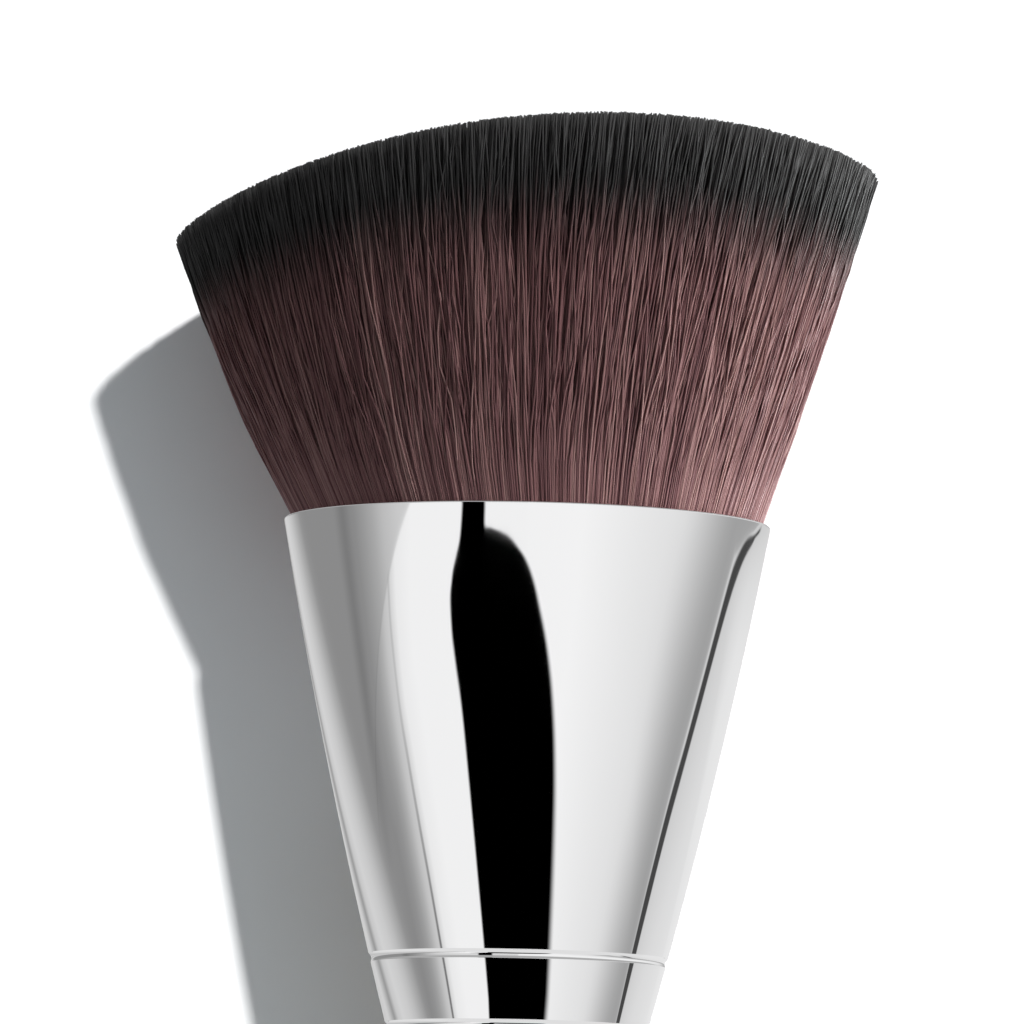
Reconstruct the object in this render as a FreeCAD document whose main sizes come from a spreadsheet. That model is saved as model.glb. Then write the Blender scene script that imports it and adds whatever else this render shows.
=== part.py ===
import FreeCAD, Part
from collections import namedtuple
import os
import Sketcher

# A foundation brush that stands on the end of its handle. +Z runs up the handle's axis to the filaments,
# the origin is the centre of the handle's flat end, and +X points to the long side of the slanted cut.
# Lengths are in millimetres and angles in degrees. Everything round is round about the Z axis, apart
# from the flared bundle, whose axis leans a little away from the long side.

# The turned handle, from its free end up to its tenon
HANDLE_SIZES = {
    "end_flat_radius": 2.4,
    "end_round_height": 5.0,
    "grip_radius": 4.5,
    "grip_height": 52.0,
    "handle_reach": 96.0,
    "shoulder_length": 3.0,
    "shoulder_inset": 0.1,
    "tenon_length": 13.0,
    "tenon_chamfer": 0.6,
}

# The spun ferrule, and the lines rolled into it round the tenon
FERRULE_SIZES = {
    "ferrule_length": 34.0,
    "mouth_radius": 12.5,
    "flank_arc_radius": 320.0,
    "skirt_length": 5.0,
    "skirt_radius": 5.85,
    "skirt_blend": 12.0,
    "ferrule_wall": 0.3,
    "edge_round_share": 0.3,
    "roll_setback": 1.45,
    "roll_spacing": 3.5,
    "roll_width": 0.44,
    "roll_radius": 0.36,
}

# What fills the ferrule, from the glue round the tenon up to the roots, the resin and thread round them
BOND_SIZES = {
    "bond_gap": 0.05,
    "glue_film": 0.25,
    "glue_start": 0.5,
    "glue_setback": 0.5,
    "tenon_space": 1.5,
    "resin_floor": 3.0,
    "resin_collar": 1.5,
    "neck_inset": 0.9,
    "neck_length": 3.4,
    "binding_rise": 0.6,
    "binding_length": 2.4,
    "binding_thickness": 0.4,
}

# The bundle above the mouth. A spread is how far a section stands out past the bundle in the mouth, and a
# lean is how far its centre lies towards -X. The tips are cut by an arc that runs from side to side and
# is tilted by cut_slant.
HEAD_SIZES = {
    "mouth_gap": 0.1,
    "cut_height": 18.7,
    "cut_slant": 5.67,
    "cut_arc_radius": 66.2,
    "flare_overrun": 5.5,
    "flare_middle_spread": 4.68,
    "flare_middle_lean": 0.86,
    "flare_top_spread": 8.23,
    "flare_top_lean": 0.9,
    "tip_round": 0.5,
    "cut_overrun": 3.5,
}

FULL_TURN = 360
ROLL_COUNT = 2
SAME_PLACE = 1e-4

# How an arc's centre lies from the end that the arc is fitted to
LEVEL = "Horizontal"
PLUMB = "Vertical"

# A side that is an arc: one fitted to its end number 0 or 1, or one of a radius that bends away from the
# brush's axis (Swelling) or towards it (Hollow)
Fitted = namedtuple("Fitted", "end centre_is")
Swelling = namedtuple("Swelling", "radius")
Hollow = namedtuple("Hollow", "radius")

# Radii that several pieces share, as expressions of the sheet's sizes
BORE_RADIUS = "(Sizes.skirt_radius - Sizes.ferrule_wall)"
TENON_RADIUS = f"({BORE_RADIUS} - Sizes.glue_film)"
BUNDLE_MOUTH_RADIUS = "(Sizes.mouth_radius - Sizes.ferrule_wall - Sizes.mouth_gap)"
FILLER_INSET = "(Sizes.ferrule_wall + Sizes.bond_gap)"

# Heights inside the ferrule, from its lower edge up
GLUE_TOP = "(Sizes.tenon_length - Sizes.glue_setback)"
RESIN_START = "(Sizes.tenon_length + Sizes.tenon_space)"
ROOT_HEIGHT = f"({RESIN_START} + Sizes.resin_floor)"
RESIN_TOP = f"({ROOT_HEIGHT} + Sizes.resin_collar)"
FLARE_TOP_RISE = "(Sizes.cut_height + Sizes.flare_overrun)"

# The ferrule's flank is an arc from the skirt to the mouth. These give its chord and its centre.
FLANK_RISE = "(Sizes.ferrule_length - Sizes.skirt_length)"
FLANK_SPREAD = "(Sizes.mouth_radius - Sizes.skirt_radius)"
FLANK_CHORD = f"sqrt({FLANK_RISE} ^ 2 + {FLANK_SPREAD} ^ 2)"
FLANK_INSET = f"sqrt(Sizes.flank_arc_radius ^ 2 - ({FLANK_CHORD} / 2) ^ 2)"
FLANK_CENTRE_RADIUS = (
    f"((Sizes.mouth_radius + Sizes.skirt_radius) / 2 - {FLANK_INSET} * {FLANK_RISE} / {FLANK_CHORD})"
)
FLANK_CENTRE_HEIGHT = (
    f"((Sizes.ferrule_length + Sizes.skirt_length) / 2 + {FLANK_INSET} * {FLANK_SPREAD} / {FLANK_CHORD})"
)


def flank_radius(height):
    """The ferrule's outer radius at a height on its flank."""
    drop = f"({height} - {FLANK_CENTRE_HEIGHT})"
    return f"({FLANK_CENTRE_RADIUS} + sqrt(Sizes.flank_arc_radius ^ 2 - {drop} ^ 2))"


def flank_corner(inset, height, arc):
    """A corner on the flank, inset from its outer face, with the arc that follows it."""
    return (f"({flank_radius(height)} - {inset})", height, arc)


NECK_RADIUS = f"({flank_radius(ROOT_HEIGHT)} - {FILLER_INSET} - Sizes.neck_inset)"


def rolled_flank(inset, top):
    """The corners that run up the flank from the skirt to a height, with a hollow at each rolled line."""
    flank = Swelling(f"(Sizes.flank_arc_radius - {inset})")
    corners = [flank_corner(inset, "Sizes.skirt_length", flank)]
    for number in reversed(range(ROLL_COUNT)):
        middle = f"(Sizes.tenon_length - Sizes.roll_setback - {number} * Sizes.roll_spacing)"
        corners.append(flank_corner(inset, f"({middle} - Sizes.roll_width / 2)", Hollow("Sizes.roll_radius")))
        corners.append(flank_corner(inset, f"({middle} + Sizes.roll_width / 2)", flank))
    corners.append(flank_corner(inset, top, None))
    return corners


def run_backwards(corners):
    """The same run of corners from its last to its first, each with the arc that now follows it."""
    arcs = [corner[2] for corner in corners[-2::-1]] + [None]
    return [(corner[0], corner[1], arc) for corner, arc in zip(corners[::-1], arcs)]


def make_sheet(doc):
    """Writes each driving size into one sheet: its name, and beside it its value under that name."""
    sheet = doc.addObject("Spreadsheet::Sheet", "Sizes")
    row = 0
    for group in (HANDLE_SIZES, FERRULE_SIZES, BOND_SIZES, HEAD_SIZES):
        for name, value in group.items():
            row += 1
            sheet.set(f"A{row}", name)
            sheet.set(f"B{row}", str(value))
            sheet.setAlias(f"B{row}", name)
    doc.recompute()


def value_of(item, expression):
    """What an expression comes to, as a plain number."""
    return float(item.evalExpression(expression))


def add_body(doc, label, height="0"):
    """An empty body whose own frame stands at a height on the brush's axis."""
    body = doc.addObject("PartDesign::Body", label.title().replace("_", ""))
    body.Label = label
    body.setExpression("Placement.Base.z", height)
    return body


def add_sketch(body, name, role):
    """An empty sketch on one of the body's own origin planes."""
    plane = next(item for item in body.Origin.OriginFeatures if item.Role == role)
    sketch = body.newObject("Sketcher::SketchObject", name)
    sketch.AttachmentSupport = [(plane, "")]
    sketch.MapMode = "FlatFace"
    return sketch


def fix_point(sketch, side, point, across, up):
    """Holds a point of a side at two expressions, measured from the sketch's origin. In a sketch the level
    axis is number -1, the upright axis -2 and the origin point 1 of -1. An arc's ends are its points 1
    and 2, and its centre is point 3."""
    for kind, axis, place in (("DistanceX", -2, across), ("DistanceY", -1, up)):
        if place == "0":
            sketch.addConstraint(Sketcher.Constraint("PointOnObject", side, point, axis))
        else:
            size = value_of(sketch, place)
            number = sketch.addConstraint(Sketcher.Constraint(kind, -1, 1, side, point, size))
            sketch.setExpression(f"Constraints[{number}]", place)


def fitted_arc(places, end, centre_is):
    """The arc between two places that runs upright at one of them, where its centre is level with that
    place, or runs level there, where its centre is plumb with it."""
    touch = places[end]
    chord = places[1 - end] - touch
    sideways = FreeCAD.Vector(1, 0, 0) if centre_is == LEVEL else FreeCAD.Vector(0, 1, 0)
    centre = touch + sideways * (chord.Length ** 2 / (2 * chord.dot(sideways)))
    return arc_about(centre, places)


def bent_arc(places, arc, radius):
    """The arc of a radius between two places that bends away from the brush's axis or towards it."""
    chord = places[1] - places[0]
    across = FreeCAD.Vector(-abs(chord.y), chord.x if chord.y > 0 else -chord.x, 0)
    across.normalize()
    if isinstance(arc, Hollow):
        across = -across
    centre = (places[0] + places[1]) / 2 + across * (radius ** 2 - (chord.Length / 2) ** 2) ** 0.5
    return arc_about(centre, places)


def arc_about(centre, places):
    """The short arc from one place to another about a centre."""
    radius = (places[0] - centre).Length
    middle = (places[0] + places[1]) / 2 - centre
    middle.normalize()
    return Part.Arc(places[0], centre + middle * radius, places[1])


def draw_side(sketch, places, arc):
    """Draws one side of an outline between two places, and returns its number and its two ends' numbers."""
    if arc is None:
        side = sketch.addGeometry(Part.LineSegment(*places))
    elif isinstance(arc, Fitted):
        side = sketch.addGeometry(fitted_arc(places, arc.end, arc.centre_is))
    else:
        side = sketch.addGeometry(bent_arc(places, arc, value_of(sketch, arc.radius)))
    from_first, from_second = (sketch.getPoint(side, end).distanceToPoint(places[0]) for end in (1, 2))
    return side, ((1, 2) if from_first < from_second else (2, 1))


def draw_outline(sketch, corners):
    """Draws a closed outline. A corner is (radius, height, the arc that follows it or None)."""
    places = [FreeCAD.Vector(value_of(sketch, across), value_of(sketch, up), 0) for across, up, _ in corners]
    sides = []
    for number, (_, _, arc) in enumerate(corners):
        sides.append(draw_side(sketch, (places[number], places[(number + 1) % len(corners)]), arc))
    for number, (across, up, arc) in enumerate(corners):
        side, ends = sides[number]
        before, ends_before = sides[number - 1]
        sketch.addConstraint(Sketcher.Constraint("Coincident", before, ends_before[1], side, ends[0]))
        fix_point(sketch, side, ends[0], across, up)
        if isinstance(arc, Fitted):
            sketch.addConstraint(Sketcher.Constraint(arc.centre_is, side, 3, side, ends[arc.end]))
        elif arc is not None:
            fix_radius(sketch, side, arc.radius)


def fix_radius(sketch, side, radius):
    """Holds the radius of a circle or an arc at an expression."""
    number = sketch.addConstraint(Sketcher.Constraint("Radius", side, value_of(sketch, radius)))
    sketch.setExpression(f"Constraints[{number}]", radius)


def draw_circle(sketch, across, up, radius):
    """Draws one circle whose centre and radius are expressions."""
    centre = FreeCAD.Vector(value_of(sketch, across), value_of(sketch, up), 0)
    circle = sketch.addGeometry(Part.Circle(centre, FreeCAD.Vector(0, 0, 1), value_of(sketch, radius)))
    fix_radius(sketch, circle, radius)
    fix_point(sketch, circle, 3, across, up)


def turn(body, kind, sketch):
    """Turns a sketch about its upright axis, as a Revolution that adds or a Groove that cuts."""
    feature = body.newObject(f"PartDesign::{kind}", f"{sketch.Name}{kind}")
    feature.Profile = sketch
    feature.ReferenceAxis = (sketch, ["V_Axis"])
    feature.Angle = FULL_TURN
    sketch.Visibility = False
    body.Document.recompute()
    return feature


def turned_body(doc, label, height, corners):
    """A body turned from one closed outline."""
    body = add_body(doc, label, height)
    sketch = add_sketch(body, f"{body.Name}Outline", "XZ_Plane")
    draw_outline(sketch, corners)
    turn(body, "Revolution", sketch)
    return body


def rings_at(body, places):
    """The names of the tip shape's round edges that lie at the places, each (radius, height)."""
    found = []
    for across, up in places:
        on_ring = FreeCAD.Vector(value_of(body, across), 0, value_of(body, up))
        for number, edge in enumerate(body.Tip.Shape.Edges, start=1):
            is_ring = edge.isClosed() and edge.BoundBox.ZLength < SAME_PLACE
            if is_ring and edge.distToShape(Part.Vertex(on_ring))[0] < SAME_PLACE:
                found.append(f"Edge{number}")
    return found


def dress_edges(body, kind, name, edges, size):
    """Rounds or bevels edges of the body's tip shape, with kind Fillet or Chamfer."""
    feature = body.newObject(f"PartDesign::{kind}", name)
    feature.Base = (feature.BaseFeature, edges)
    feature.setExpression("Radius" if kind == "Fillet" else "Size", size)
    body.Document.recompute()


def make_handle(doc):
    """One turned piece: rounded end, straight grip, a slow swell up to the shoulder, and the tenon."""
    swell_start = "Sizes.grip_height"
    swell_stop = "(Sizes.handle_reach - Sizes.shoulder_length)"
    shoulder = "(Sizes.skirt_radius - Sizes.shoulder_inset)"
    tenon_top = "(Sizes.handle_reach + Sizes.tenon_length)"
    body = turned_body(doc, "handle", "0", (
        ("0", "0", None),
        ("Sizes.end_flat_radius", "0", Fitted(1, LEVEL)),
        ("Sizes.grip_radius", "Sizes.end_round_height", None),
        ("Sizes.grip_radius", swell_start, Fitted(0, LEVEL)),
        (f"(Sizes.grip_radius + {shoulder}) / 2", f"({swell_start} + {swell_stop}) / 2", Fitted(1, LEVEL)),
        (shoulder, swell_stop, None),
        (shoulder, "Sizes.handle_reach", None),
        (TENON_RADIUS, "Sizes.handle_reach", None),
        (TENON_RADIUS, tenon_top, None),
        ("0", tenon_top, None),
    ))
    rim = rings_at(body, [(TENON_RADIUS, tenon_top)])
    dress_edges(body, "Chamfer", "TenonChamfer", rim, "Sizes.tenon_chamfer")
    return body


def make_ferrule(doc):
    """One thin shell: a straight skirt and a swelling flank up to the mouth, with lines rolled into it."""
    outside = [("Sizes.skirt_radius", "0", None)] + rolled_flank("0", "Sizes.ferrule_length")
    inside = [(BORE_RADIUS, "0", None)] + rolled_flank("Sizes.ferrule_wall", "Sizes.ferrule_length")
    body = turned_body(doc, "ferrule", "Sizes.handle_reach", outside + run_backwards(inside))
    blended = [corner[:2] for corner in (outside[1], inside[1])]
    dress_edges(body, "Fillet", "SkirtBlend", rings_at(body, blended), "Sizes.skirt_blend")
    rounded = [corner[:2] for corner in (outside[0], outside[-1], inside[0], inside[-1])]
    edge_round = "Sizes.ferrule_wall * Sizes.edge_round_share"
    dress_edges(body, "Fillet", "EdgeRound", rings_at(body, rounded), edge_round)
    return body


def make_tenon_adhesive(doc):
    """The glue collar that fills the space round the tenon, and takes the shape of the rolled lines."""
    film_radius = f"({BORE_RADIUS} - Sizes.bond_gap)"
    return turned_body(doc, "tenon_adhesive", "Sizes.handle_reach", [
        (TENON_RADIUS, "Sizes.glue_start", None),
        (film_radius, "Sizes.glue_start", None),
        *rolled_flank(FILLER_INSET, GLUE_TOP),
        (TENON_RADIUS, GLUE_TOP, None),
    ])


def make_resin_plug(doc):
    """The resin cup: a floor under the roots and a collar round the bound neck."""
    collar_radius = f"({NECK_RADIUS} + Sizes.binding_thickness + Sizes.bond_gap)"
    flank = Swelling(f"(Sizes.flank_arc_radius - {FILLER_INSET})")
    return turned_body(doc, "resin_plug", "Sizes.handle_reach", (
        ("0", RESIN_START, None),
        flank_corner(FILLER_INSET, RESIN_START, flank),
        flank_corner(FILLER_INSET, RESIN_TOP, None),
        (collar_radius, RESIN_TOP, None),
        (collar_radius, ROOT_HEIGHT, None),
        ("0", ROOT_HEIGHT, None),
    ))


def make_root_binding(doc):
    """The band of thread round the neck of the bundle."""
    low = f"({ROOT_HEIGHT} + Sizes.binding_rise)"
    high = f"({low} + Sizes.binding_length)"
    around = f"({NECK_RADIUS} + Sizes.binding_thickness)"
    return turned_body(doc, "root_binding", "Sizes.handle_reach", (
        (NECK_RADIUS, low, None),
        (around, low, None),
        (around, high, None),
        (NECK_RADIUS, high, None),
    ))


def make_filament_head(doc):
    """The bundle: a bound neck that spreads to the mouth, the leaning flare above it, and the arched cut."""
    body = turned_body(doc, "filament_head", "Sizes.handle_reach", (
        ("0", ROOT_HEIGHT, None),
        (NECK_RADIUS, ROOT_HEIGHT, None),
        (NECK_RADIUS, f"({ROOT_HEIGHT} + Sizes.neck_length)", None),
        (BUNDLE_MOUTH_RADIUS, "Sizes.ferrule_length", None),
        ("0", "Sizes.ferrule_length", None),
    ))
    sections = []
    for name, rise, spread, lean in (
        ("FlareMouth", "0", "0", "0"),
        ("FlareMiddle", f"{FLARE_TOP_RISE} / 2", "Sizes.flare_middle_spread", "-Sizes.flare_middle_lean"),
        ("FlareTop", FLARE_TOP_RISE, "Sizes.flare_top_spread", "-Sizes.flare_top_lean"),
    ):
        sketch = add_sketch(body, name, "XY_Plane")
        sketch.setExpression("AttachmentOffset.Base.z", f"Sizes.ferrule_length + {rise}")
        sketch.setExpression("AttachmentOffset.Base.x", lean)
        draw_circle(sketch, "0", "0", f"({BUNDLE_MOUTH_RADIUS} + {spread})")
        sketch.Visibility = False
        sections.append(sketch)
    flare = body.newObject("PartDesign::AdditiveLoft", "Flare")
    flare.Profile = sections[0]
    flare.Sections = sections[1:]
    doc.recompute()
    cut_tips(body)
    return body


def cut_tips(body):
    """Cuts the flare along an arc that runs from side to side, and rounds the cut's outline, which is the
    bundle's longest edge."""
    sketch = add_sketch(body, "TipCut", "XZ_Plane")
    sketch.setExpression("AttachmentOffset.Base.y", "Sizes.ferrule_length + Sizes.cut_height")
    sketch.setExpression("AttachmentOffset.Rotation.Angle", "Sizes.cut_slant")
    reach = f"({BUNDLE_MOUTH_RADIUS} + Sizes.flare_top_spread + Sizes.flare_top_lean + Sizes.cut_overrun)"
    top = "(Sizes.flare_overrun + Sizes.cut_overrun)"
    drop = f"(Sizes.cut_arc_radius - sqrt(Sizes.cut_arc_radius ^ 2 - {reach} ^ 2))"
    draw_outline(sketch, (
        (f"-{reach}", f"-{drop}", Swelling("Sizes.cut_arc_radius")),
        (reach, f"-{drop}", None),
        (reach, top, None),
        (f"-{reach}", top, None),
    ))
    pocket = body.newObject("PartDesign::Pocket", "TipPocket")
    pocket.Profile = sketch
    pocket.SideType = "Symmetric"
    pocket.Type = "ThroughAll"
    sketch.Visibility = False
    body.Document.recompute()
    lengths = [edge.Length for edge in body.Tip.Shape.Edges]
    outline = f"Edge{lengths.index(max(lengths)) + 1}"
    dress_edges(body, "Fillet", "TipRound", [outline], "Sizes.tip_round")


SUBPART_MAKERS = (
    make_handle,
    make_ferrule,
    make_tenon_adhesive,
    make_resin_plug,
    make_root_binding,
    make_filament_head,
)


def check_document(doc):
    """Stops if a feature failed or a sub-part isn't one sound solid."""
    for item in doc.Objects:
        if "Invalid" in item.State or "Error" in item.State:
            raise RuntimeError(f"{item.Name} failed: {item.State}")
    for body in doc.findObjects("PartDesign::Body"):
        if body.Shape.isNull() or not body.Shape.isValid() or len(body.Shape.Solids) != 1:
            raise RuntimeError(f"{body.Label} isn't one valid solid")


def main():
    doc = FreeCAD.newDocument("FoundationBrush")
    make_sheet(doc)
    bodies = [make_subpart(doc) for make_subpart in SUBPART_MAKERS]
    doc.recompute()
    check_document(doc)
    os.makedirs("parts", exist_ok=True)
    for body in bodies:
        body.Shape.exportStep(f"parts/{body.Label}.step")
        print(f"{body.Label}: {body.Shape.Volume:.1f} mm3")


main()
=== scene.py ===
import math

import bpy
import numpy as np
from mathutils import Matrix, Vector


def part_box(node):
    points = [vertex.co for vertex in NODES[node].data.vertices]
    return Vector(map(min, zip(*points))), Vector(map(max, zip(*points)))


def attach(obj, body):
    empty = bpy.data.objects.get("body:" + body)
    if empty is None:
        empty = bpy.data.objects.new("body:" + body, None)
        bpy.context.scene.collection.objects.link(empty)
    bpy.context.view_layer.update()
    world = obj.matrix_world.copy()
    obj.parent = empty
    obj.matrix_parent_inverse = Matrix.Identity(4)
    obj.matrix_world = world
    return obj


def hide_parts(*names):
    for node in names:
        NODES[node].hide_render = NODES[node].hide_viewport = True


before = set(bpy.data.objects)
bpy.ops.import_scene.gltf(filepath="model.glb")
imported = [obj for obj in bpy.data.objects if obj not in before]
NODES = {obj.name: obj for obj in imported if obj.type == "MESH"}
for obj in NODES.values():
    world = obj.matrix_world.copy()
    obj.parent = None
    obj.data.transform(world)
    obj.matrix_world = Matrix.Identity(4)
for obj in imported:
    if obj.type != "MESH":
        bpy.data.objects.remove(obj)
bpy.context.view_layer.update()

# A foundation brush that stands on its handle's end, seen from the front, along +Y, close to its
# head. Lengths are in metres, but where a name or a comment says so they are in millimetres.

MM = 0.001
FULL_TURN = 2.0 * math.pi
DRAWS = np.random.default_rng(20)
FERRULE_BASE, MOUTH_HEIGHT = (corner.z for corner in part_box("ferrule"))

# The flare of the bundle: height above the ferrule's mouth, radius, and how far its middle leans to -X
FLARE_MM = ((0.0, 12.05, 0.0), (12.1, 16.78, 0.86), (24.2, 20.33, 0.90))
FLARE_RADIUS = np.polyfit([row[0] for row in FLARE_MM], [row[1] for row in FLARE_MM], 2)
FLARE_LEAN = np.polyfit([row[0] for row in FLARE_MM], [row[2] for row in FLARE_MM], 2)

# The cut across the tips is an arc that runs from side to side. A strand's tip is found in a few steps
# from a first guess.
CUT_RADIUS = 66.2 * MM
CUT_CENTRE_ACROSS = 6.541 * MM
CUT_CENTRE_HEIGHT = 82.824 * MM
FIRST_RISE = 18.0 * MM
RISE_STEPS = 4


def bundle_radius(rise):
    """The bundle's radius at a height above the ferrule's mouth."""
    return np.polyval(FLARE_RADIUS, rise / MM) * MM


def bundle_lean(rise):
    """How far the bundle's middle lies towards -X at a height above the mouth."""
    return np.polyval(FLARE_LEAN, rise / MM) * MM


def cut_height(across):
    """The height of the arched cut at a place across."""
    return CUT_CENTRE_HEIGHT + np.sqrt(CUT_RADIUS ** 2 - (across - CUT_CENTRE_ACROSS) ** 2)


def bundle_places(share, angle, rise):
    """Places in the bundle: share of its radius, angle round its middle and height above the mouth."""
    reach = share * bundle_radius(rise)
    across = reach * np.cos(angle) - bundle_lean(rise)
    depth = reach * np.sin(angle)
    return np.stack((across, depth, MOUTH_HEIGHT + rise), axis=-1)


def tip_rise(share, angle):
    """How far above the mouth the strand at a share and an angle meets the arched cut."""
    rise = np.full(np.shape(share), FIRST_RISE)
    for _ in range(RISE_STEPS):
        rise = cut_height(bundle_places(share, angle, rise)[..., 0]) - MOUTH_HEIGHT
    return rise


def smooth_step(value, low, high):
    """0 below low, 1 above high, and a smooth way between them."""
    along = np.clip((value - low) / (high - low), 0.0, 1.0)
    return along * along * (3.0 - 2.0 * along)


# Strands. In their map each wall of a strand is a step wide, 1.5 pixels of 512, and the map's edge is
# left free.

MAP_STEP = 1.5 / 512
MAP_EDGE = 0.02

# The long strands lie in layers. A share is of the bundle's radius, or of the number of strands, and a
# drift is how far a strand turns aside for each length of rise.
LAYER_COUNT = 5
CLUMPED_LAYERS = 3
LAYER_STRANDS = 1440
LAYER_STEP_SHARE = 0.008
LAYER_SPREAD = 0.8
LAYER_TURN = 0.37
PLACE_SPREAD = 1.2
OUTER_SHARE = 0.996
ROOT_DEPTH = 1.6 * MM
STRAND_POINTS = 13
OUTER_SIDES = 5
MESH_STRANDS = 1440
CLUMP_COUNT = 460
CLUMP_PULL = (0.05, 0.6)
OWN_PULL = (0.5, 1.0)
PULL_STRETCH, PULL_POWER = 1.22, 0.8
FREE_RANGE = (0.06, 0.4)
TWIST = 0.045
CLUMP_DRIFT = 0.010
OWN_DRIFT = 0.023
STRAY_SHARE = 0.25
STRAY_DRIFT = 0.06
STRAY_LIFT_SHARE = 0.006
UNEVEN_TIPS = 0.035 * MM
SHORT_SHARE = 0.03
SHORT_BY_MM = (0.1, 0.9)
WAVE_SIZE, LEAST_WAVE = 0.11 * MM, 0.015 * MM
WAVE_LENGTHS = (5.5 * MM, 13.0 * MM)
DEPTH_WAVE_SHARE = 0.004
DEPTH_PHASE = 1.7
STRAND_WIDTH = 0.094 * MM
STRAND_WIDTHS = (0.78, 1.18)
TAPER_SHARE = 0.12
TAPER_RANGE = (0.9, 1.0)
MIDDLE_TONE, TONE_SPREAD = 0.5, 0.13
LOWER_TONE = 0.05
BRIGHT_SHARE = 0.14
BRIGHTER_BY = (0.1, 0.4)

# The strand ends under the cut
INNER_STRANDS = 21000
INNER_LENGTH = 3.2 * MM
INNER_SIDES = 3
INNER_MESH_STRANDS = 10500
INNER_SHARE, MOST_INNER_SHARE = 0.965, 0.97
INNER_SPREAD = 0.0035
LEAST_TURN_SHARE = 0.05
SPIRAL_TURN = math.pi * (3.0 - math.sqrt(5.0))
UNEVEN_ENDS = 0.3 * MM
INNER_LEVELS = (0.0, 0.8, 1.0)
INNER_TAPER_SHARES = (1.0, 0.9, 0.6)
INNER_BEND = 0.003
TIP_WIDTH = 0.13 * MM
TIP_WIDTHS = (0.8, 1.2)
INNER_TONE_SPREAD = 0.2

# The core
CORE_SHARE = 0.938
CORE_LOWERED = 1.5 * MM
CORE_TURNS = 128
CORE_RINGS = 18
CAP_RINGS = 12


def new_object(name, mesh):
    """A new object for a mesh, in the scene."""
    made = bpy.data.objects.new(name, mesh)
    bpy.context.scene.collection.objects.link(made)
    return made


def strand_piece(name, sides, paths, widths, tones, alongs):
    """One piece of strands with so many sides. paths is strands x points x 3, widths and alongs are
    strands x points, and tones has one value for each strand. Its map holds each strand's tone across,
    and how far a place is along its strand upwards."""
    strands, points = widths.shape
    turns = DRAWS.uniform(0.0, FULL_TURN, (strands, 1, 1))
    ring = np.arange(sides) * (FULL_TURN / sides)
    turns = turns + ring
    offsets = np.stack((np.cos(turns), np.sin(turns), np.zeros_like(turns)), axis=-1)
    places = paths[:, :, None, :] + offsets * (widths[:, :, None, None] / 2.0)

    corner = np.arange(strands * points * sides).reshape(strands, points, sides)
    beside = np.roll(corner, -1, axis=2)
    walls = np.stack((corner[:, :-1], beside[:, :-1], beside[:, 1:], corner[:, 1:]), axis=-1)
    caps = np.concatenate((corner[:, -1], corner[:, 0, ::-1]))
    vertices = np.concatenate((walls.ravel(), caps.ravel()))
    wall_count = walls.size // 4
    starts = np.concatenate((np.arange(wall_count) * 4, walls.size + np.arange(2 * strands) * sides))

    tone = MAP_EDGE + tones * (1.0 - 2.0 * MAP_EDGE)
    across = tone[:, None, None, None] + MAP_STEP * np.array([[0, 1, 1, 0]])
    across = across + MAP_STEP * (np.arange(sides)[None, None, :, None] - sides / 2.0)
    up = MAP_EDGE + alongs * (1.0 - 2.0 * MAP_EDGE)
    lower, upper = up[:, :-1, None], up[:, 1:, None]
    up_wall = np.stack((lower, lower, upper, upper), axis=-1)
    wall_map = np.stack(np.broadcast_arrays(across, up_wall), axis=-1)
    wall_map = np.broadcast_to(wall_map, walls.shape + (2,))
    cap_shape = MAP_STEP * np.stack((np.cos(ring), np.sin(ring)), axis=-1)
    cap_maps = [np.stack((tone, up[:, end]), axis=-1)[:, None, :] + cap_shape for end in (-1, 0)]

    mesh = bpy.data.meshes.new(name)
    mesh.vertices.add(places.size // 3)
    mesh.vertices.foreach_set("co", places.astype(np.float32).ravel())
    mesh.loops.add(len(vertices))
    mesh.loops.foreach_set("vertex_index", vertices.astype(np.int32))
    mesh.polygons.add(len(starts))
    mesh.polygons.foreach_set("loop_start", starts.astype(np.int32))
    mesh.update(calc_edges=True)
    mesh.shade_smooth()
    layer = mesh.uv_layers.new(name="OFBake")
    whole = np.concatenate([part.reshape(-1, 2) for part in (wall_map, *cap_maps)])
    layer.uv.foreach_set("vector", whole.astype(np.float32).ravel())
    mesh.validate()
    return new_object(name, mesh)


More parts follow.
